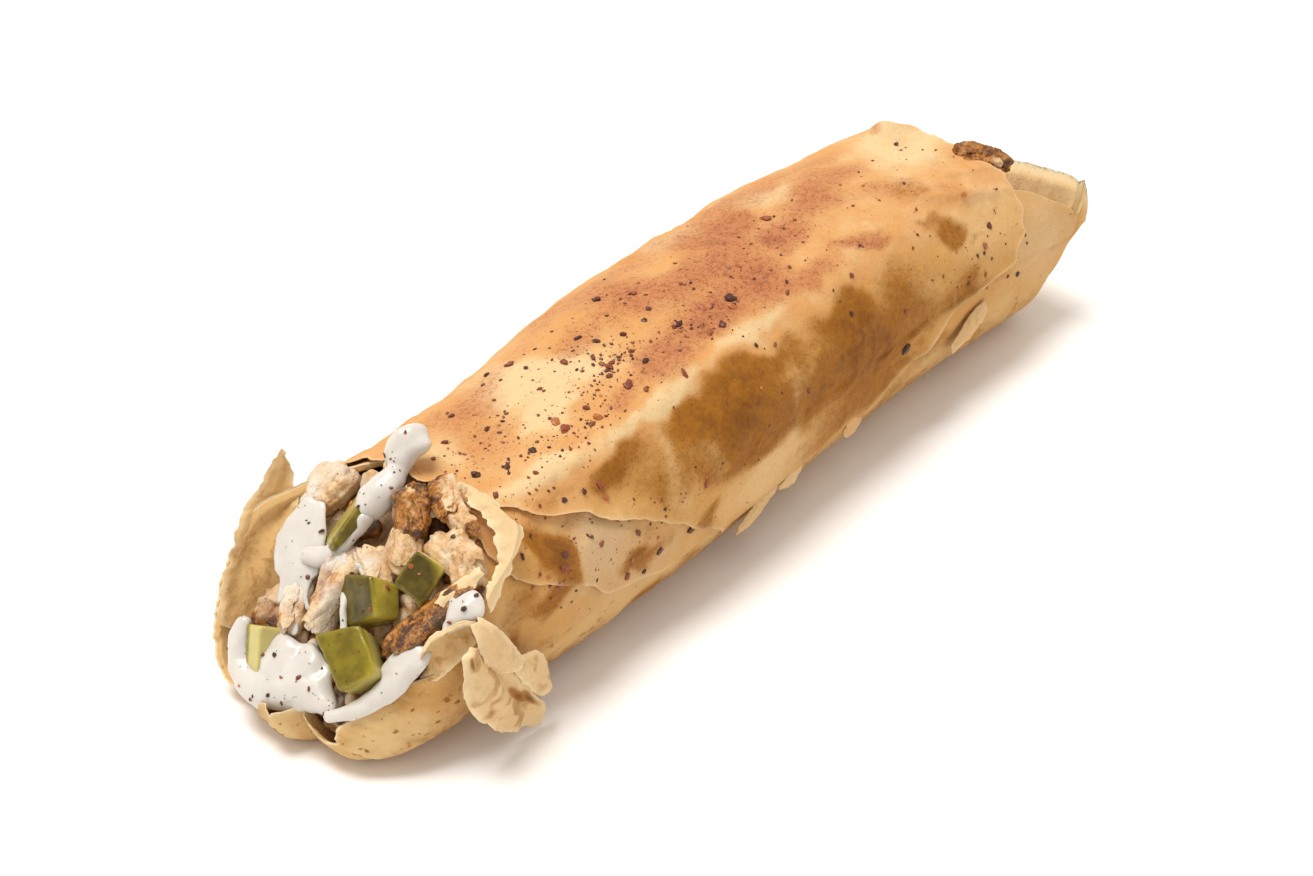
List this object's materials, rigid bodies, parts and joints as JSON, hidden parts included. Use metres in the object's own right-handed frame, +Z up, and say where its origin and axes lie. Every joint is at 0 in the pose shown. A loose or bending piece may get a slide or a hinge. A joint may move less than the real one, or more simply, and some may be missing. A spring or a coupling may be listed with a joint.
{
  "type": "doner wrap",
  "caption": "Rolled flatbread wrap packed with shaved roast chicken, diced pickles and white sauce, torn open at one end, folded up at the other, lying flat.",
  "frame": {"origin": "middle of the box under the roll, on the surface it rests on", "axes": "+X along the roll from the torn open end to the folded end, +Z up"},
  "size_m": [0.2195, 0.0616, 0.0467],
  "materials": {
    "flatbread": "matt toasted flatbread",
    "chicken": "roast chicken, matt with some grease",
    "pickle": "wet pickled cucumber",
    "sauce": "wet garlic sauce"
  },
  "bodies": {
    "root": {"flatbread": "flatbread", "filling_core": "chicken", "meat_upright": "chicken", "meat_pale_upper": "chicken", "meat_curl_right": "chicken", "meat_under_edge": "chicken", "meat_curved_left": "chicken", "meat_pale_middle": "chicken", "meat_crusty_long": "chicken", "meat_left_strip": "chicken", "meat_top_grey": "chicken", "meat_back_left": "chicken", "meat_folded_end": "chicken", "pickle_large": "pickle", "pickle_block": "pickle", "pickle_diamond": "pickle", "pickle_slice": "pickle", "pickle_left": "pickle", "sauce_top": "sauce", "sauce_pickle": "sauce", "sauce_left": "sauce", "sauce_pool": "sauce", "sauce_drip": "sauce", "sauce_right": "sauce"}
  },
  "joints": []
}
